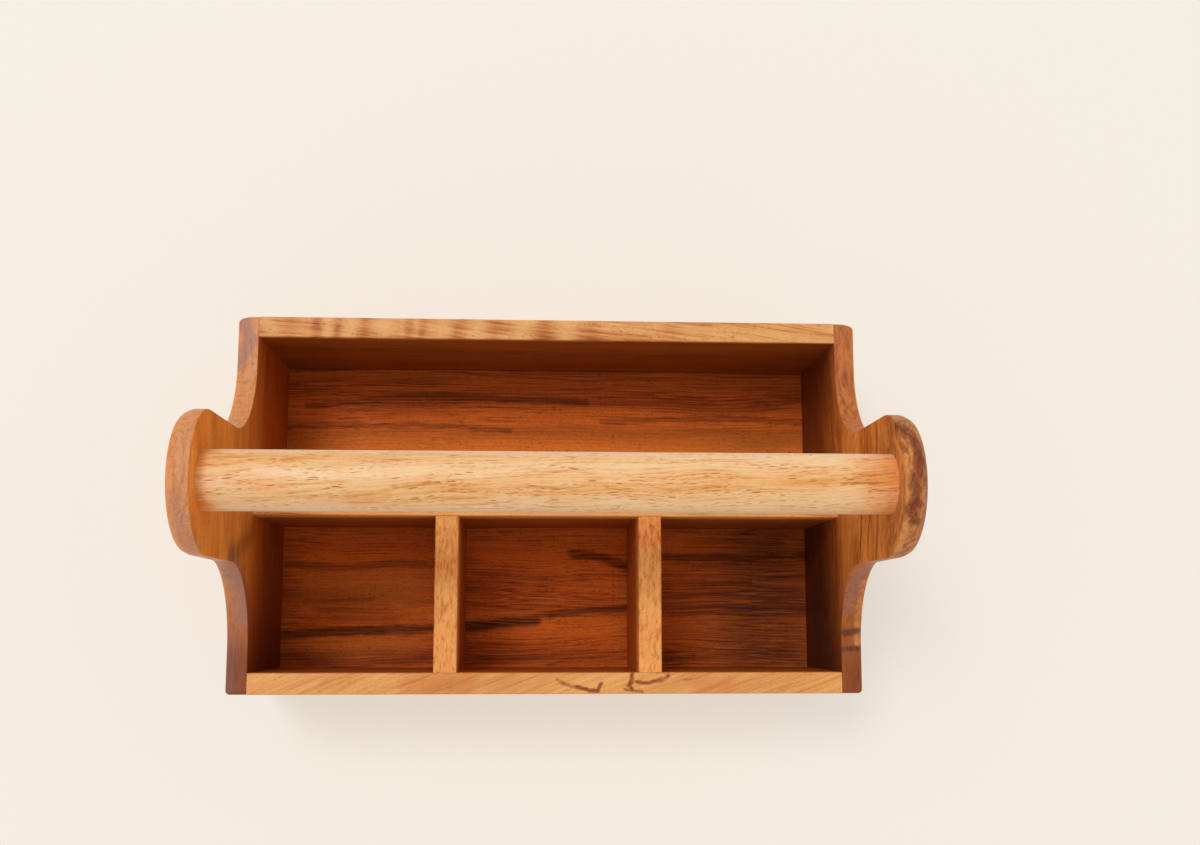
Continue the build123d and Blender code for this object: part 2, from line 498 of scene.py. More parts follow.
def vessels(tree, space, cut):
    """Short dark dashes of two sizes where vessels are cut open, from 0 beside one to 1 in it."""
    dashes = []
    for share in (1.0, 0.55):
        scale = tuple(1 / (share * length) for length in cut.vessel)
        scaled = add(tree, "Mapping", {"Vector": space, "Scale": scale})[0]
        cells = add(tree, "TexVoronoi", {"Vector": scaled, "Scale": 1.0, "Randomness": 1.0},
                    feature="F1")
        dash = add(tree, "MapRange", {0: cells["Distance"], 1: 0.18, 2: 0.34, 3: 1.0, 4: 0.0})[0]
        draw = add(tree, "SeparateColor", {0: cells["Color"]})[0]
        chosen = add(tree, "MapRange", {
            0: draw, 1: 1 - cut.vessel_share, 2: 1.0, 3: 0.0, 4: 1.6})[0]
        dashes.append(add(tree, "Math", {0: dash, 1: chosen}, operation="MULTIPLY")[0])
    both = add(tree, "Math", {0: dashes[0], 1: dashes[1]}, operation="MAXIMUM")[0]
    patch = streaks(tree, space, CROWDS)["Fac"]
    crowd = add(tree, "MapRange", {0: patch, 1: 0.4, 2: 0.6, 3: 0.1, 4: 1.0})[0]
    return add(tree, "Math", {0: both, 1: crowd}, operation="MULTIPLY", use_clamp=True)[0]


def pore_lines(tree, straight, strength):
    """The finest short lines of open pores along the grain, from 0 to the strength."""
    grain = streaks(tree, straight, PORES, 2.0, 0.6)["Fac"]
    return add(tree, "MapRange", {0: grain, 1: 0.45, 2: 0.7, 3: 0.0, 4: strength})[0]


def curl_figure(tree, straight, cut):
    """Light and dark bars across the grain, as on curly wood, from 0 to the cut's curl."""
    noise = streaks(tree, straight, (cut.curl_spacing, *CURL_LENGTHS), 2.0, 0.55, 0.1)["Fac"]
    return add(tree, "MapRange", {0: noise, 1: 0.36, 2: 0.62, 3: 0.0, 4: cut.curl},
               interpolation_type="SMOOTHSTEP")[0]


def swirling_figure(tree, straight, cut):
    """Layer of streaks that curl round one another, as where a branch grew, high on the board."""
    colours = bpy.context.scene.caddy_colours
    bend = streaks(tree, straight, SWIRLS)["Color"]
    bent = add(tree, "VectorMath", {0: bend, 1: SWIRL_REACH, 2: straight},
               operation="MULTIPLY_ADD")[0]
    streak = streaks(tree, bent, SWIRL_STREAKS, 5.0, 0.66)["Fac"]
    pale = add(tree, "MapRange", {0: streak, 1: 0.36, 2: 0.66, 3: 0.0, 4: 1.0})[0]
    wild = lay_over(tree, tuple(colours.figure), [(pale, tuple(colours.flame), "MIX")])
    low, top = cut.swirl_heights
    share = add(tree, "MapRange", {
        0: place(tree)[2], 1: low * MM, 2: top * MM, 3: 0.0, 4: cut.swirl},
        interpolation_type="SMOOTHSTEP")[0]
    return share, wild, "MIX"


def browner_front(tree, lines, dark, cut):
    """Layer of browner wood towards the front, with its fibres in umber."""
    umber = tuple(bpy.context.scene.caddy_colours.umber)
    thin = add(tree, "MapRange", {0: lines, 1: 0.4, 2: 0.62, 3: 0.0, 4: 0.5})[0]
    brown = lay_over(tree, dark, [(thin, umber, "MIX")])
    share = add(tree, "MapRange", {
        0: place(tree)[1], 1: FORWARD[0], 2: FORWARD[1], 3: cut.front_dark, 4: 0.0},
        interpolation_type="SMOOTHSTEP")[0]
    return share, brown, "MIX"


def cloudy_patches(tree, space, cut):
    """Soft patches of darker wood, from 0 to the cut's cloud."""
    cloud = streaks(tree, space, cut.cloud_size, 4.0)["Fac"]
    return add(tree, "MapRange", {0: cloud, 1: 0.4, 2: 0.65, 3: 0.0, 4: cut.cloud},
               interpolation_type="SMOOTHSTEP")[0]


def wood_marks(tree, marks, lines, fray):
    """Soft lines through the marks' points, frayed along the fibres, from 0 to 1."""
    position = add(tree, "TexCoord")["Object"]
    scaled = add(tree, "Mapping", {"Vector": position, "Scale": (1 / MM, 1 / MM, 1 / MM)})[0]
    wobble = add(tree, "TexNoise", {
        "Vector": scaled, "Scale": WOBBLE_SCALE, "Detail": 4.0, "Roughness": 0.6})["Color"]
    spot = add(tree, "VectorMath", {0: wobble, 1: WOBBLE, 2: scaled},
               operation="MULTIPLY_ADD")[0]
    centre = tuple(reach / 2 for reach in WOBBLE)
    spot = add(tree, "VectorMath", {0: spot, 1: centre}, operation="SUBTRACT")[0]
    total = None
    for mark in marks:
        for start, end in zip(mark.points, mark.points[1:]):
            way = Vector(end) - Vector(start)
            offset = add(tree, "VectorMath", {0: spot, 1: start}, operation="SUBTRACT")[0]
            along = add(tree, "VectorMath", {0: offset, 1: way / way.length_squared},
                        operation="DOT_PRODUCT")["Value"]
            along = add(tree, "Math", {0: along, 1: 1.0}, operation="MULTIPLY", use_clamp=True)[0]
            reached = add(tree, "VectorMath", {0: tuple(way), "Scale": along},
                          operation="SCALE")[0]
            far = add(tree, "VectorMath", {0: offset, 1: reached}, operation="DISTANCE")["Value"]
            line = add(tree, "MapRange", {
                0: far, 1: mark.core * mark.width, 2: mark.width, 3: mark.strength, 4: 0.0},
                interpolation_type="SMOOTHSTEP")[0]
            total = line if total is None else add(tree, "Math", {0: total, 1: line},
                                                   operation="MAXIMUM")[0]
    frayed = add(tree, "MapRange", {0: lines, 1: 0.35, 2: 0.6, 3: 1 - fray, 4: 1 + 0.5 * fray})[0]
    return add(tree, "Math", {0: total, 1: frayed}, operation="MULTIPLY", use_clamp=True)[0]


def pale_edge_and_sheen(tree, space, ripe, edge, tones, figures, cut):
    """Layer for the paler edges of an end panel: end grain and painted sheen, most at the top."""
    pale, mid, dark = tones
    facing = add(tree, "NewGeometry")["True Normal"]
    sideways = add(tree, "VectorMath", {0: facing}, operation="ABSOLUTE")[0]
    outward = add(tree, "SeparateXYZ", {0: sideways})[0]
    on_edge = add(tree, "MapRange", {0: outward, 1: 0.35, 2: 0.95, 3: 1.0, 4: 0.0})[0]
    paler_higher = add(tree, "MapRange", {
        0: place(tree)[2], 1: EDGE_SHEEN_HEIGHTS[0], 2: EDGE_SHEEN_HEIGHTS[1], 3: 0.25, 4: 1.0})[0]
    share = add(tree, "Math", {0: on_edge, 1: paler_higher}, operation="MULTIPLY")[0]
    late = add(tree, "MapRange", {0: ripe, 1: 0.2, 2: 1.0, 3: 0.0, 4: cut.edge_contrast})[0]
    veins = streaks(tree, space, VEINS, 5.0, 0.7)["Fac"]
    veins = add(tree, "MapRange", {0: veins, 1: 0.46, 2: 0.7, 3: 0.0, 4: cut.edge_contrast})[0]
    edge_and_sheen = lay_over(tree, edge, [(late, mid, "MIX"), (veins, dark, "MIX"), *figures])
    return share, edge_and_sheen, "MIX"


def inner_faces(tree):
    """1 on the faces that look into the compartments, and 0 outside and on the rim."""
    size = add(tree, "VectorMath", {0: add(tree, "TexCoord")["Object"]}, operation="ABSOLUTE")[0]
    axes = add(tree, "SeparateXYZ", {0: size})
    inner = [
        add(tree, "Math", {0: axes[axis], 1: face + FACE_SKIN}, operation="LESS_THAN")[0]
        for axis, face in ((0, INNER_FACE_X), (1, INNER_FACE_Y))
    ]
    return add(tree, "Math", {0: inner[0], 1: inner[1]}, operation="MULTIPLY")[0]


def inside_shade(tree, inner, cut):
    """Painted shade: rises from 0 at the rim to 1 low on the inner faces, 0 on the outer ones."""
    top, low = cut.shade
    shade = add(tree, "MapRange", {
        0: place(tree)[2], 1: low * MM, 2: top * MM, 3: cut.shade_share, 4: 0.0},
        interpolation_type="SMOOTHSTEP")[0]
    return add(tree, "Math", {0: shade, 1: inner}, operation="MULTIPLY")[0]


def acacia(name, tones, cut, edge=None):
    """Acacia, planed, sanded and wiped with oil: a satin surface, golden to red-brown, whose
    fibre lines, open vessels and broad bands all run one way along the board. Painted shade
    deepens its inner faces, and some of the cut's marks paint light, shadow and sheen."""
    material = bpy.data.materials.new(name)
    material.use_nodes = True
    tree = material.node_tree
    tree.nodes.clear()
    colours = bpy.context.scene.caddy_colours
    pale, mid, dark = tones
    space, straight = grain_space(tree, cut)
    lines = streaks(tree, space, cut.fibre, 6.0, 0.68)["Fac"]
    dashes = vessels(tree, space, cut)
    ripe = ripeness(tree, space, lines, cut)
    inner = inner_faces(tree)
    front = [browner_front(tree, lines, dark, cut)] if cut.front_dark else []
    wild = [swirling_figure(tree, straight, cut)] if cut.swirl else []

    deep = add(tree, "MapRange", {0: ripe, 1: cut.dark_from, 2: 1.0, 3: 0.0, 4: cut.dark_share})[0]
    hair = add(tree, "MapRange", {0: lines, 1: 0.55, 2: 0.68, 3: 0.0, 4: cut.hairlines})[0]
    layers = [(ripe, mid, "MIX"), (deep, dark, "MIX"), (hair, dark, "MIX"), *front]
    if cut.cloud:
        layers.append((cloudy_patches(tree, space, cut), dark, "MIX"))
    layers += wild
    if cut.curl:
        layers.append((curl_figure(tree, straight, cut), mid, "MULTIPLY"))
    if cut.bars:
        layers.append((wood_marks(tree, cut.bars, lines, cut.fray), mid, "MULTIPLY"))
    if edge is not None:
        layers.append(pale_edge_and_sheen(tree, space, ripe, edge, tones, wild + front, cut))
    for colour_name, marks in cut.tints:
        tint = tuple(getattr(colours, colour_name))
        layers.append((wood_marks(tree, marks, lines, cut.fray), tint, "MIX"))
    shown = add(tree, "Math", {0: dashes, 1: cut.vessel_strength}, operation="MULTIPLY")[0]
    shown = add(tree, "Math", {0: shown, 1: pore_lines(tree, straight, cut.pores)},
                operation="MAXIMUM")[0]
    # Painted shade: the inner faces are tinted darker below the rim
    inside = tuple(channel * cut.shade_depth for channel in colours.inside)
    layers += [(shown, dark, "MIX"), (inside_shade(tree, inner, cut), inside, "MULTIPLY")]
    # Painted shade: umber marks on the inner faces
    if cut.painted_shade_marks:
        painted_shade_marks = add(tree, "Math", {0: wood_marks(tree, cut.painted_shade_marks, lines, cut.fray), 1: inner},
                     operation="MULTIPLY")[0]
        layers.append((painted_shade_marks, tuple(colours.umber), "MIX"))

    rough = add(tree, "MapRange", {
        0: lines, 1: 0.3, 2: 0.7, 3: cut.roughness - 0.05, 4: cut.roughness + 0.07})[0]
    relief = add(tree, "Math", {0: dashes, 1: -0.35, 2: lines}, operation="MULTIPLY_ADD")[0]
    bump = add(tree, "Bump", {"Height": relief, "Distance": BUMP_DEPTH, "Strength": 0.6})[0]
    shader = add(tree, "BsdfPrincipled", {
        "Base Color": lay_over(tree, pale, layers), "Roughness": rough, "Normal": bump,
        "IOR": 1.5, "Specular IOR Level": cut.gloss,
        "Coat Weight": cut.polish, "Coat Roughness": 0.4,
        "Sheen Weight": cut.bloom, "Sheen Roughness": 0.35,
        "Sheen Tint": (1.0, 0.93, 0.88, 1.0)})[0]
    add(tree, "OutputMaterial", {"Surface": shader})
    return material


def tones(board_name):
    """The pale, mid and dark colours of a board."""
    colours = bpy.context.scene.caddy_colours
    return [tuple(getattr(colours, f"{board_name}_{tone}")) for tone in TONES]


# ---- How each board was cut --------------------------------------------------------------------

CROSSWISE = (0, 0, -90)


def marks_at(height, *marks):
    """Marks on a level face. Each is its points along X and Y, its width, strength and core."""
    return tuple(Mark(tuple((x, y, height) for x, y in points), *rest) for points, *rest in marks)


def rear_bars(*bars):
    """Marks across the rear rim. Each is its place along X, its slant, width and strength."""
    return marks_at(RIM, *(
        (((x, 78), (x + slant, 93)), width, strength, 0.0) for x, slant, width, strength in bars))


END_CUTS = {
    # Calm orange heartwood, cloudy and browner to the front; painted grey-violet sheen on its
    # edges
    "left": Cut(
        turn=CROSSWISE, pith=(0, 30, 60), ring_spacing=22, wander=14, fibre=(46, 1.1, 1.1),
        ring_share=0.1, band_share=0.25, dark_share=0.1, hairlines=0.25, cloud=0.26,
        cloud_size=(42, 9, 9), vessel=(3.2, 0.7, 0.7), vessel_share=0.6, vessel_strength=0.5,
        shade=(150, 45), front_dark=0.9, fray=0.35, gloss=0.2, pores=0.3, edge_contrast=0.55,
        tints=(
            ("painted_mauve_sheen", (
                Mark(((-143, -26, 128), (-142.5, -35, 106), (-142, -45, 95), (-142, -54, 89)),
                     9, 0.6, 0.0),
                Mark(((-146, -10, 198), (-144, -21, 191), (-141, -28, 180)), 7, 0.3, 0.0),
                Mark(((-148, 90, 87), (-144, 80, 87), (-149, 66, 88)), 5, 0.6),
                Mark(((-148, -60, 87), (-148, -90, 87)), 6, 0.35, 0.0),
            )),
            ("umber", (Mark(((-145, -72, 87), (-145, -92, 84)), 11, 0.35, 0.0),)),
        ),
        # Painted shade on the inner face: below the head at the front, low towards the front
        # corner, and low at the rear
        painted_shade_marks=(
            Mark(((-140, -28, 126), (-140, -20, 100), (-140, -14, 84)), 9, 0.4, 0.0),
            Mark(((-140, -74, 50), (-140, -14, 36)), 48, 0.55, 0.0),
            Mark(((-140, 75, 60), (-140, 60, 10)), 34, 0.2, 0.0),
        )),
    # Red-brown heartwood with a swirling dark and golden figure round the head; painted highlights
    # and sheen on its edges
    "right": Cut(
        turn=CROSSWISE, pith=(60, -25, -50), ring_spacing=18, wander=18, fibre=(60, 1.0, 1.0),
        dark_share=0.4, hairlines=0.5, cloud=0.2, vessel_share=0.4, vessel_strength=0.5,
        shade=(115, 45), shade_depth=0.5, front_dark=0.7, edge_contrast=0.8, fray=0.5, gloss=0.2,
        swirl=0.75, swirl_heights=(140, 190),
        tints=(
            # Painted highlights along the head's inner arris and the flare's edge
            ("flame", (
                Mark(((140, 18, 186), (141, 8, 197.6), (142, -6, 199)), 2.4, 0.8),
                Mark(((140, -27, 182), (140, -25.5, 184.5), (140, -18, 193.6)), 3, 0.8),
                Mark(((148, -38, 103), (148, -50, 93), (148, -66, 87)), 3, 0.6),
            )),
            # Painted sheen on the flare and along the head's outer rounding
            ("painted_mauve_sheen", (
                Mark(((145, -31, 113), (143, -41, 98), (142.5, -50, 92)), 5, 0.45, 0.0),
                Mark(((149, 14, 196), (149.6, -4, 197), (149, -18, 192)), 3.5, 0.5, 0.0),
            )),
            ("figure", (
                Mark(((141, 23.3, 189), (144.6, 17.8, 194.2), (145.9, 10.9, 197.9),
                      (145.5, 2, 200)), 3.5, 0.8),
                Mark(((143, 1, 199.6), (144.3, -4.7, 199.6), (142.6, -11.7, 197.6),
                      (145, -16.6, 195)), 3.5, 0.8),
                Mark(((140, 28, 160), (140, 12, 157), (140, -8, 158), (140, -30, 152)), 2.0, 0.6),
                Mark(((140, -9, 131), (140, -28, 125)), 2.0, 0.6),
                Mark(((140, -10, 144), (140, -28, 138)), 1.6, 0.6),
            )),
            ("umber", (
                Mark(((141, -61, 87.6), (148, -60.5, 87.8)), 2.5, 0.7),
                Mark(((141, -69.6, 87), (149, -68.6, 87)), 2.2, 0.7),
            )),
        ),
        # Painted shade on the inner face: low at the front and low at the rear
        painted_shade_marks=(
            Mark(((140, -74, 50), (140, -14, 36)), 52, 0.75, 0.0),
            Mark(((140, 75, 60), (140, 40, 10)), 40, 0.5, 0.0),
        )),
}

WALL_CUTS = {
    # Plain golden wood whose grain slants across the rim, with thin brown resin lines
    "front": Cut(
        turn=(0, 0, -20), side_turn=(0, 0, -2), pith=(40, 70, -90), ring_spacing=18,
        ring_share=0.08, band_share=0.3, vessel=(3.6, 0.7, 0.7), vessel_strength=0.4,
        vessel_share=0.7, dark_share=0.1, hairlines=0.16, shade=(86, 78), cloud=0.12,
        cloud_size=(30, 14, 14), gloss=0.2, fray=0.1,
        tints=(("resin", marks_at(
            RIM,
            (((3, -83.2), (7, -85), (13.2, -87.2)), 1.3, 0.7),
            (((13.2, -87.2), (19.9, -88.3), (23.7, -88), (25.6, -85.4)), 1.5, 0.95),
            (((39.8, -80), (39.4, -83.1), (38.4, -86), (40.1, -88.3)), 1.4, 0.95),
            (((41.4, -84.1), (48.2, -85.1), (53.5, -83.8), (57, -81.6)), 1.3, 0.9),
            (((36.6, -88), (44.7, -89)), 1.1, 0.7),
            (((52, -80.6), (57, -80.2)), 1.0, 0.6),
            (((63, -83.4), (67, -83.2)), 0.8, 0.5),
        )),),
        bars=marks_at(
            RIM,
            (((-64, -85), (-38, -85)), 10, 0.4, 0.0),
            (((-30, -85), (-18, -84)), 8, 0.2, 0.0),
            (((72, -85), (84, -85)), 9, 0.3, 0.0),
        )),
    # Golden wood with a curly figure on the rim: pale and dark bars across the grain
    "rear": Cut(
        pith=(200, -160, -95), turn=(0, 0, 6), side_turn=(0, 0, 0.5), ring_spacing=14,
        ring_share=0.12, band_share=0.35, shade=(87, 83), shade_depth=0.68, curl=0.1,
        curl_spacing=14, hairlines=0.3, gloss=0.2, vessel=(3.6, 0.75, 0.75), vessel_share=0.7,
        fray=0.6,
        tints=(("gold", (
            *marks_at(RIM, (((-137, 88), (-134, 84)), 5, 0.5, 0.0)),
            *rear_bars(
                (-108, 1.5, 5, 0.6), (-98, 2, 6, 0.65), (-81, 1.5, 7, 0.5), (-53, 2, 7, 0.5),
                (-36, 2, 6, 0.6), (-14, 2, 8, 0.6), (7, 2, 8, 0.6)),
        )),),
        bars=rear_bars(
            (-126, 2, 7, 0.4), (-113.5, 1.5, 4, 0.6), (-103, 1.5, 4.5, 0.6),
            (-91, 1.5, 5.5, 0.6), (-69, 1.5, 3.5, 0.55), (-62.5, 1.5, 3.5, 0.5),
            (-45, 1.5, 5, 0.5), (-27, 1.5, 6, 0.4), (-3, 1.5, 6, 0.5), (20, 2, 8, 0.45),
            (60, 3, 10, 0.3))),
}

# Short boards of plain orange wood, with fine short vessels and a soft ripple across the grain
CROSS_DIVIDER = Cut(
    turn=(0, 0, -86), side_turn=CROSSWISE, vessel=(1.8, 0.7, 0.7), vessel_share=0.6, curl=0.16,
    ring_share=0.0, band_share=0.08, fibre=(5, 1.5, 1.5), hairlines=0.04, vessel_strength=0.45,
    cloud=0.12, shade=(86, 66), shade_depth=0.95, gloss=0.2, pores=0.22)

DIVIDER_CUTS = {
    "centre_divider": Cut(pith=(-90, -20, -120), shade=(84, 66), shade_depth=0.8, gloss=0.2),
    "cross_divider_1": replace(
        CROSS_DIVIDER, pith=(150, 40, 30),
        # Painted shadow of the handle across the top
        bars=marks_at(RIM, (((-56, -31), (-40, -28)), 8, 0.35, 0.0),
                      (((-56, -2), (-40, 0)), 9, 0.4, 0.0))),
    "cross_divider_2": replace(
        CROSS_DIVIDER, pith=(300, 40, 60),
        # Painted shadow of the handle across the top
        bars=marks_at(RIM, (((41, -14), (56, -12)), 15, 0.45, 0.0))),
}

# Deep red-brown heartwood, dull because no hand rubs it, with near-black streaks; painted shade
# and painted light on the floor
BOTTOM_CUT = Cut(
    pith=(0, 15, 55), ring_spacing=16, wander=5, fibre=(70, 0.8, 0.8), band_share=0.55,
    dark_from=0.5, dark_share=0.45, shade_share=0.0, vessel_share=0.5, hairlines=0.5,
    roughness=0.55, gloss=0.1, fray=0.45,
    tints=(
        # Painted light in amber: brighter strips on the floor where light falls into the
        # compartments
        ("amber_and_painted_light", marks_at(
            FLOOR,
            (((-120, -38), (-75, -38)), 24, 0.45, 0.0),
            (((-122, -68), (-72, -68)), 12, 0.4, 0.0),
            (((-140, 36), (140, 36)), 22, 0.5, 0.0),
        )),
        # Painted shade in umber: along the walls and dividers, and over the right front
        # compartment
        ("umber", marks_at(
            FLOOR,
            (((-145, 84), (145, 84)), 44, 0.5, 0.0),
            (((-140, -4), (140, -4)), 18, 0.3, 0.0),
            (((116, -70), (116, -10)), 64, 0.72, 0.0),
            (((-48, -76), (-48, -4)), 16, 0.35, 0.0),
            (((48, -76), (48, -4)), 16, 0.35, 0.0),
            (((-142, -76), (-142, 76)), 16, 0.35, 0.0),
            (((-140, -77), (140, -77)), 9, 0.3, 0.0),
        )),
        ("heart", marks_at(
            FLOOR,
            (((-142, -63), (-120, -61.5), (-98, -60.9), (-55, -59.3)), 4.0, 0.75),
            (((-50, -60), (-24.8, -57), (-5.6, -54.6)), 5.0, 0.85),
            (((-6, -53), (15, -50.4), (44, -49.2)), 3.0, 0.65),
            (((14, -19.5), (30, -22), (44, -27.8)), 4.0, 0.7),
            (((-138, -26), (-110, -28), (-84, -25), (-56, -26)), 3.0, 0.45),
            (((-128, -46), (-92, -44)), 1.8, 0.4),
            (((-40, -30), (0, -33)), 2.0, 0.4),
            (((-140, 48), (-70, 50), (-20, 47)), 2.0, 0.45),
            (((30, 52), (90, 55), (140, 53)), 2.5, 0.5),
            (((62, -21), (100, -22), (140, -20)), 3.0, 0.6),
            (((62, -36), (110, -35)), 2.5, 0.45),
            (((-130, 60), (-60, 66), (20, 63)), 3, 0.5),
        )),
    ))

# Pale sapwood with long open vessels, rubbed to a soft shine by hands; painted sheen along its
# sides
HANDLE_CUT = Cut(
    pith=(30, -20, -190), turn=(0, 0, -2), ring_spacing=16, wander=9, fibre=(40, 0.9, 0.9),
    vessel=(8, 0.75, 0.75), vessel_share=0.9, vessel_strength=1.0, dark_share=0.15,
    hairlines=0.4, roughness=0.45, shade_share=0.0, gloss=0.3, polish=0.1, bloom=0.12,
    fray=0.45, pores=0.14,
    tints=(
        # Painted sheen: pale bands of reflection along the rear and front sides, and at the lower
        # left
        ("painted_handle_sheen", (
            Mark(((-128, 12.5, 178), (133, 12.5, 178)), 10.5, 0.95, 0.1),
            Mark(((-133, -12.5, 178), (133, -12.5, 178)), 7.5, 0.3, 0.0),
            Mark(((-130, -11, 182), (-85, -11, 182)), 9, 0.5, 0.0),
        )),
        # Amber streaks; at the left end, the orange of the head's painted shadow
        ("amber_and_painted_light", (
            Mark(((142, -12, 186), (142, 12, 186)), 30, 0.5, 0.0),
            Mark(((-126, -1, 190), (-104, -4, 190)), 5, 0.35, 0.0),
            Mark(((-142, -12, 186), (-142, 12, 186)), 10, 0.7, 0.0),
        )),
        ("resin", (
            Mark(((124, 2.5, 190), (139, 2.8, 190)), 0.9, 0.55),
            Mark(((116, -1.5, 190), (139, -1.0, 190)), 0.9, 0.6),
            Mark(((126, -4.5, 190), (139, -4.5, 190)), 0.8, 0.45),
        )),
    ),
    bars=(
        Mark(((141, -12, 186), (141, 12, 186)), 22, 0.4, 0.0),
        # Painted shadow of the left head on the handle's end
        Mark(((-141, -12, 186), (-141, 12, 186)), 5, 0.95),
    ))

# Beech, turned to round pins and left bare: pale, dry and close-grained
PIN_CUT = Cut(ring_spacing=3, wander=2, vessel_share=0.3, roughness=0.6, shade_share=0.0)


# ---- Operators ---------------------------------------------------------------------------------

class CADDY_OT_end_panels(bpy.types.Operator):
    """Build the two end panels with their round heads"""
    bl_idname = "caddy.end_panels"
    bl_label = "End Panels"

    def execute(self, context):
        sizes = context.scene.caddy_sizes
        bottom_low, bottom_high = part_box("bottom_board")
        handle_low, handle_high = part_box("handle_dowel")
        for side, outward in (("left", -1), ("right", 1)):
            node = f"end_panel_{side}"
            low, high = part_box(node)
            shape = end_panel(low, high, sizes, outward)
            cut_away(shape, board(bottom_low - GLUE_GAP, bottom_high + GLUE_GAP))
            cut_away(shape, round_bar(handle_low - GLUE_GAP, handle_high + GLUE_GAP))
            edge = tuple(getattr(context.scene.caddy_colours, f"{side}_edge"))
            material = acacia(f"oiled_acacia_{side}_panel", tones(side), END_CUTS[side], edge)
            new_piece(f"{node}_board", shape, material, node)
        return {"FINISHED"}


class CADDY_OT_walls(bpy.types.Operator):
    """Build the front and the rear wall"""
    bl_idname = "caddy.walls"
    bl_label = "Walls"

    def execute(self, context):
        arris = context.scene.caddy_sizes.arris
        bottom_low, bottom_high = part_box("bottom_board")
        for side, cut in WALL_CUTS.items():
            node = f"{side}_wall"
            shape = board(*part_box(node))
            bevel_edges(shape, top_edges(shape, 0), arris, ARRIS_SEGMENTS)
            cut_away(shape, board(bottom_low - GLUE_GAP, bottom_high + GLUE_GAP))
            material = acacia(f"oiled_acacia_{side}_wall", tones(side), cut)
            new_piece(f"{node}_board", shape, material, node)
        return {"FINISHED"}


class CADDY_OT_dividers(bpy.types.Operator):
    """Build the centre divider and the cross dividers"""
    bl_idname = "caddy.dividers"
    bl_label = "Dividers"

    def execute(self, context):
        arris = context.scene.caddy_sizes.arris
        for node, cut in DIVIDER_CUTS.items():
            low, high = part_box(node)
            along = 0 if high.x - low.x > high.y - low.y else 1
            shape = board(low, high)
            bevel_edges(shape, top_edges(shape, along), arris, ARRIS_SEGMENTS)
            material = acacia(f"oiled_acacia_{node}", tones("divider"), cut)
            new_piece(f"{node}_board", shape, material, node)
        return {"FINISHED"}


class CADDY_OT_bottom(bpy.types.Operator):
    """Build the bottom board"""
    bl_idname = "caddy.bottom"
    bl_label = "Bottom Board"

    def execute(self, context):
        shape = board(*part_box("bottom_board"))
        material = acacia("oiled_acacia_bottom", tones("bottom"), BOTTOM_CUT)
        new_piece("bottom_board_plank", shape, material, "bottom_board")
        return {"FINISHED"}


class CADDY_OT_handle(bpy.types.Operator):
    """Build the round handle"""
    bl_idname = "caddy.handle"
    bl_label = "Handle"

    def execute(self, context):
        material = acacia("oiled_acacia_handle", tones("handle"), HANDLE_CUT)
        new_piece("handle_bar", round_bar(*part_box("handle_dowel")), material, "handle_dowel")
        return {"FINISHED"}


class CADDY_OT_pins(bpy.types.Operator):
    """Give the hidden joint pins their wood"""
    bl_idname = "caddy.pins"
    bl_label = "Joint Pins"

    def execute(self, context):
        material = acacia("plain_beech_pins", tones("pin"), PIN_CUT)
        for name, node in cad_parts.items():
            if name.endswith("_pins"):
                node.data.materials.clear()
                node.data.materials.append(material)
        return {"FINISHED"}


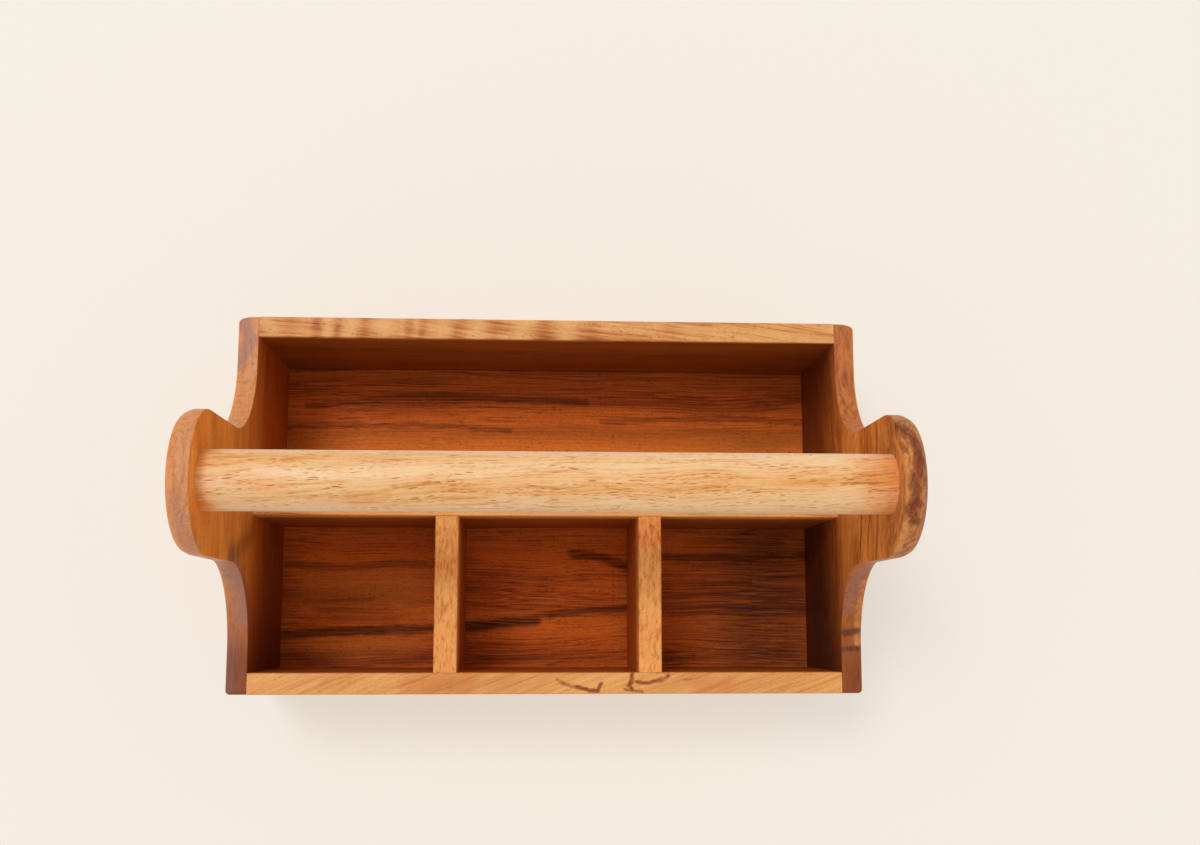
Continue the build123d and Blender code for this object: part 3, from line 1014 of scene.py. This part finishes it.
class CADDY_OT_stage(bpy.types.Operator):
    """Set up the pale table, the light and the camera"""
    bl_idname = "caddy.stage"
    bl_label = "Stage"

    def execute(self, context):
        scene = context.scene
        scene.view_settings.view_transform = "Standard"
        self.table(scene)
        self.light(scene)
        self.camera(scene)
        return {"FINISHED"}

    def seen(self, tree):
        """1 for what the camera sees, straight or in a reflection, and 0 for what gives light."""
        rays = add(tree, "LightPath")
        seen = add(tree, "Math", {0: rays["Is Camera Ray"], 1: rays["Is Glossy Ray"]},
                   operation="MAXIMUM")[0]
        return add(tree, "Math", {0: seen, 1: rays["Is Transmission Ray"]},
                   operation="MAXIMUM")[0]

    def table(self, scene):
        """A table top of matt white laminate: even and pale, with a light shadow of the caddy."""
        shape = bmesh.new()
        bmesh.ops.create_grid(shape, x_segments=1, y_segments=1, size=TABLE_SIZE / 2)
        bmesh.ops.translate(shape, vec=(0, 0, -TABLE_DROP), verts=shape.verts)
        mesh = bpy.data.meshes.new("table_top")
        shape.to_mesh(mesh)
        shape.free()
        table = bpy.data.objects.new("table_top", mesh)
        scene.collection.objects.link(table)
        material = bpy.data.materials.new("matt_white_laminate")
        material.use_nodes = True
        tree = material.node_tree
        tree.nodes.clear()
        colour = tuple(scene.caddy_colours.floor)
        lit = add(tree, "BsdfPrincipled", {"Base Color": colour, "Roughness": 0.6})[0]
        glow = add(tree, "Emission", {"Color": colour, "Strength": 1.0})[0]
        share = add(tree, "Math", {0: self.seen(tree), 1: 0.6}, operation="MULTIPLY")[0]
        surface = add(tree, "MixShader", {0: share, 1: lit, 2: glow})[0]
        add(tree, "OutputMaterial", {"Surface": surface})
        mesh.materials.append(material)

    def light(self, scene):
        """Even white room light, and a soft window light from the rear left."""
        light = scene.caddy_light
        world = bpy.data.worlds.new("white_room")
        scene.world = world
        world.use_nodes = True
        tree = world.node_tree
        tree.nodes.clear()
        room = add(tree, "Background", {"Color": (1, 1, 1, 1), "Strength": light.sky_strength})[0]
        wall = add(tree, "Background", {
            "Color": tuple(scene.caddy_colours.floor), "Strength": 1.0})[0]
        both = add(tree, "MixShader", {0: self.seen(tree), 1: room, 2: wall})[0]
        add(tree, "OutputWorld", {"Surface": both})

        window = bpy.data.lights.new("window", "SUN")
        window.energy = light.key_strength
        window.angle = light.key_angle
        lamp = bpy.data.objects.new("window", window)
        scene.collection.objects.link(lamp)
        direction = Vector(WINDOW_DIRECTION).normalized()
        lamp.location = direction
        lamp.rotation_euler = direction.to_track_quat("Z", "Y").to_euler()

    def camera(self, scene):
        """The photograph's viewpoint: nearly straight down, from a little before the middle."""
        lens = bpy.data.cameras.new("photo_camera")
        lens.sensor_width = SENSOR_WIDTH
        lens.lens = FOCAL_LENGTH / PHOTO_WIDTH * SENSOR_WIDTH
        lens.shift_y = FRAME_SHIFT / PHOTO_WIDTH
        lens.clip_start = 0.05
        camera = bpy.data.objects.new("photo_camera", lens)
        camera.location = Vector(CAMERA_PLACE) * MM
        camera.rotation_euler = Euler([math.radians(angle) for angle in CAMERA_TURN])
        scene.collection.objects.link(camera)
        scene.camera = camera


class CADDY_PT_panel(bpy.types.Panel):
    """Caddy sizes, colours and build steps"""
    bl_idname = "CADDY_PT_panel"
    bl_label = "Acacia Caddy"
    bl_space_type = "VIEW_3D"
    bl_region_type = "UI"
    bl_category = "Caddy"

    def draw(self, context):
        for operator in OPERATORS:
            self.layout.operator(operator.bl_idname)
        scene = context.scene
        for group in (scene.caddy_sizes, scene.caddy_light, scene.caddy_colours):
            box = self.layout.box()
            for name in group.__annotations__:
                box.prop(group, name)


OPERATORS = (CADDY_OT_end_panels, CADDY_OT_walls, CADDY_OT_dividers, CADDY_OT_bottom,
             CADDY_OT_handle, CADDY_OT_pins, CADDY_OT_stage)
GROUPS = (CaddySizes, CaddyColours, CaddyLight)


def register():
    for cls in (*GROUPS, *OPERATORS, CADDY_PT_panel):
        bpy.utils.register_class(cls)
    bpy.types.Scene.caddy_sizes = PointerProperty(type=CaddySizes)
    bpy.types.Scene.caddy_colours = PointerProperty(type=CaddyColours)
    bpy.types.Scene.caddy_light = PointerProperty(type=CaddyLight)


def unregister():
    del bpy.types.Scene.caddy_sizes
    del bpy.types.Scene.caddy_colours
    del bpy.types.Scene.caddy_light
    for cls in reversed((*GROUPS, *OPERATORS, CADDY_PT_panel)):
        bpy.utils.unregister_class(cls)


def main():
    """Build the whole caddy and its stage."""
    register()
    bpy.ops.caddy.end_panels()
    bpy.ops.caddy.walls()
    bpy.ops.caddy.dividers()
    bpy.ops.caddy.bottom()
    bpy.ops.caddy.handle()
    bpy.ops.caddy.pins()
    bpy.ops.caddy.stage()


if __name__ == "__main__":
    main()
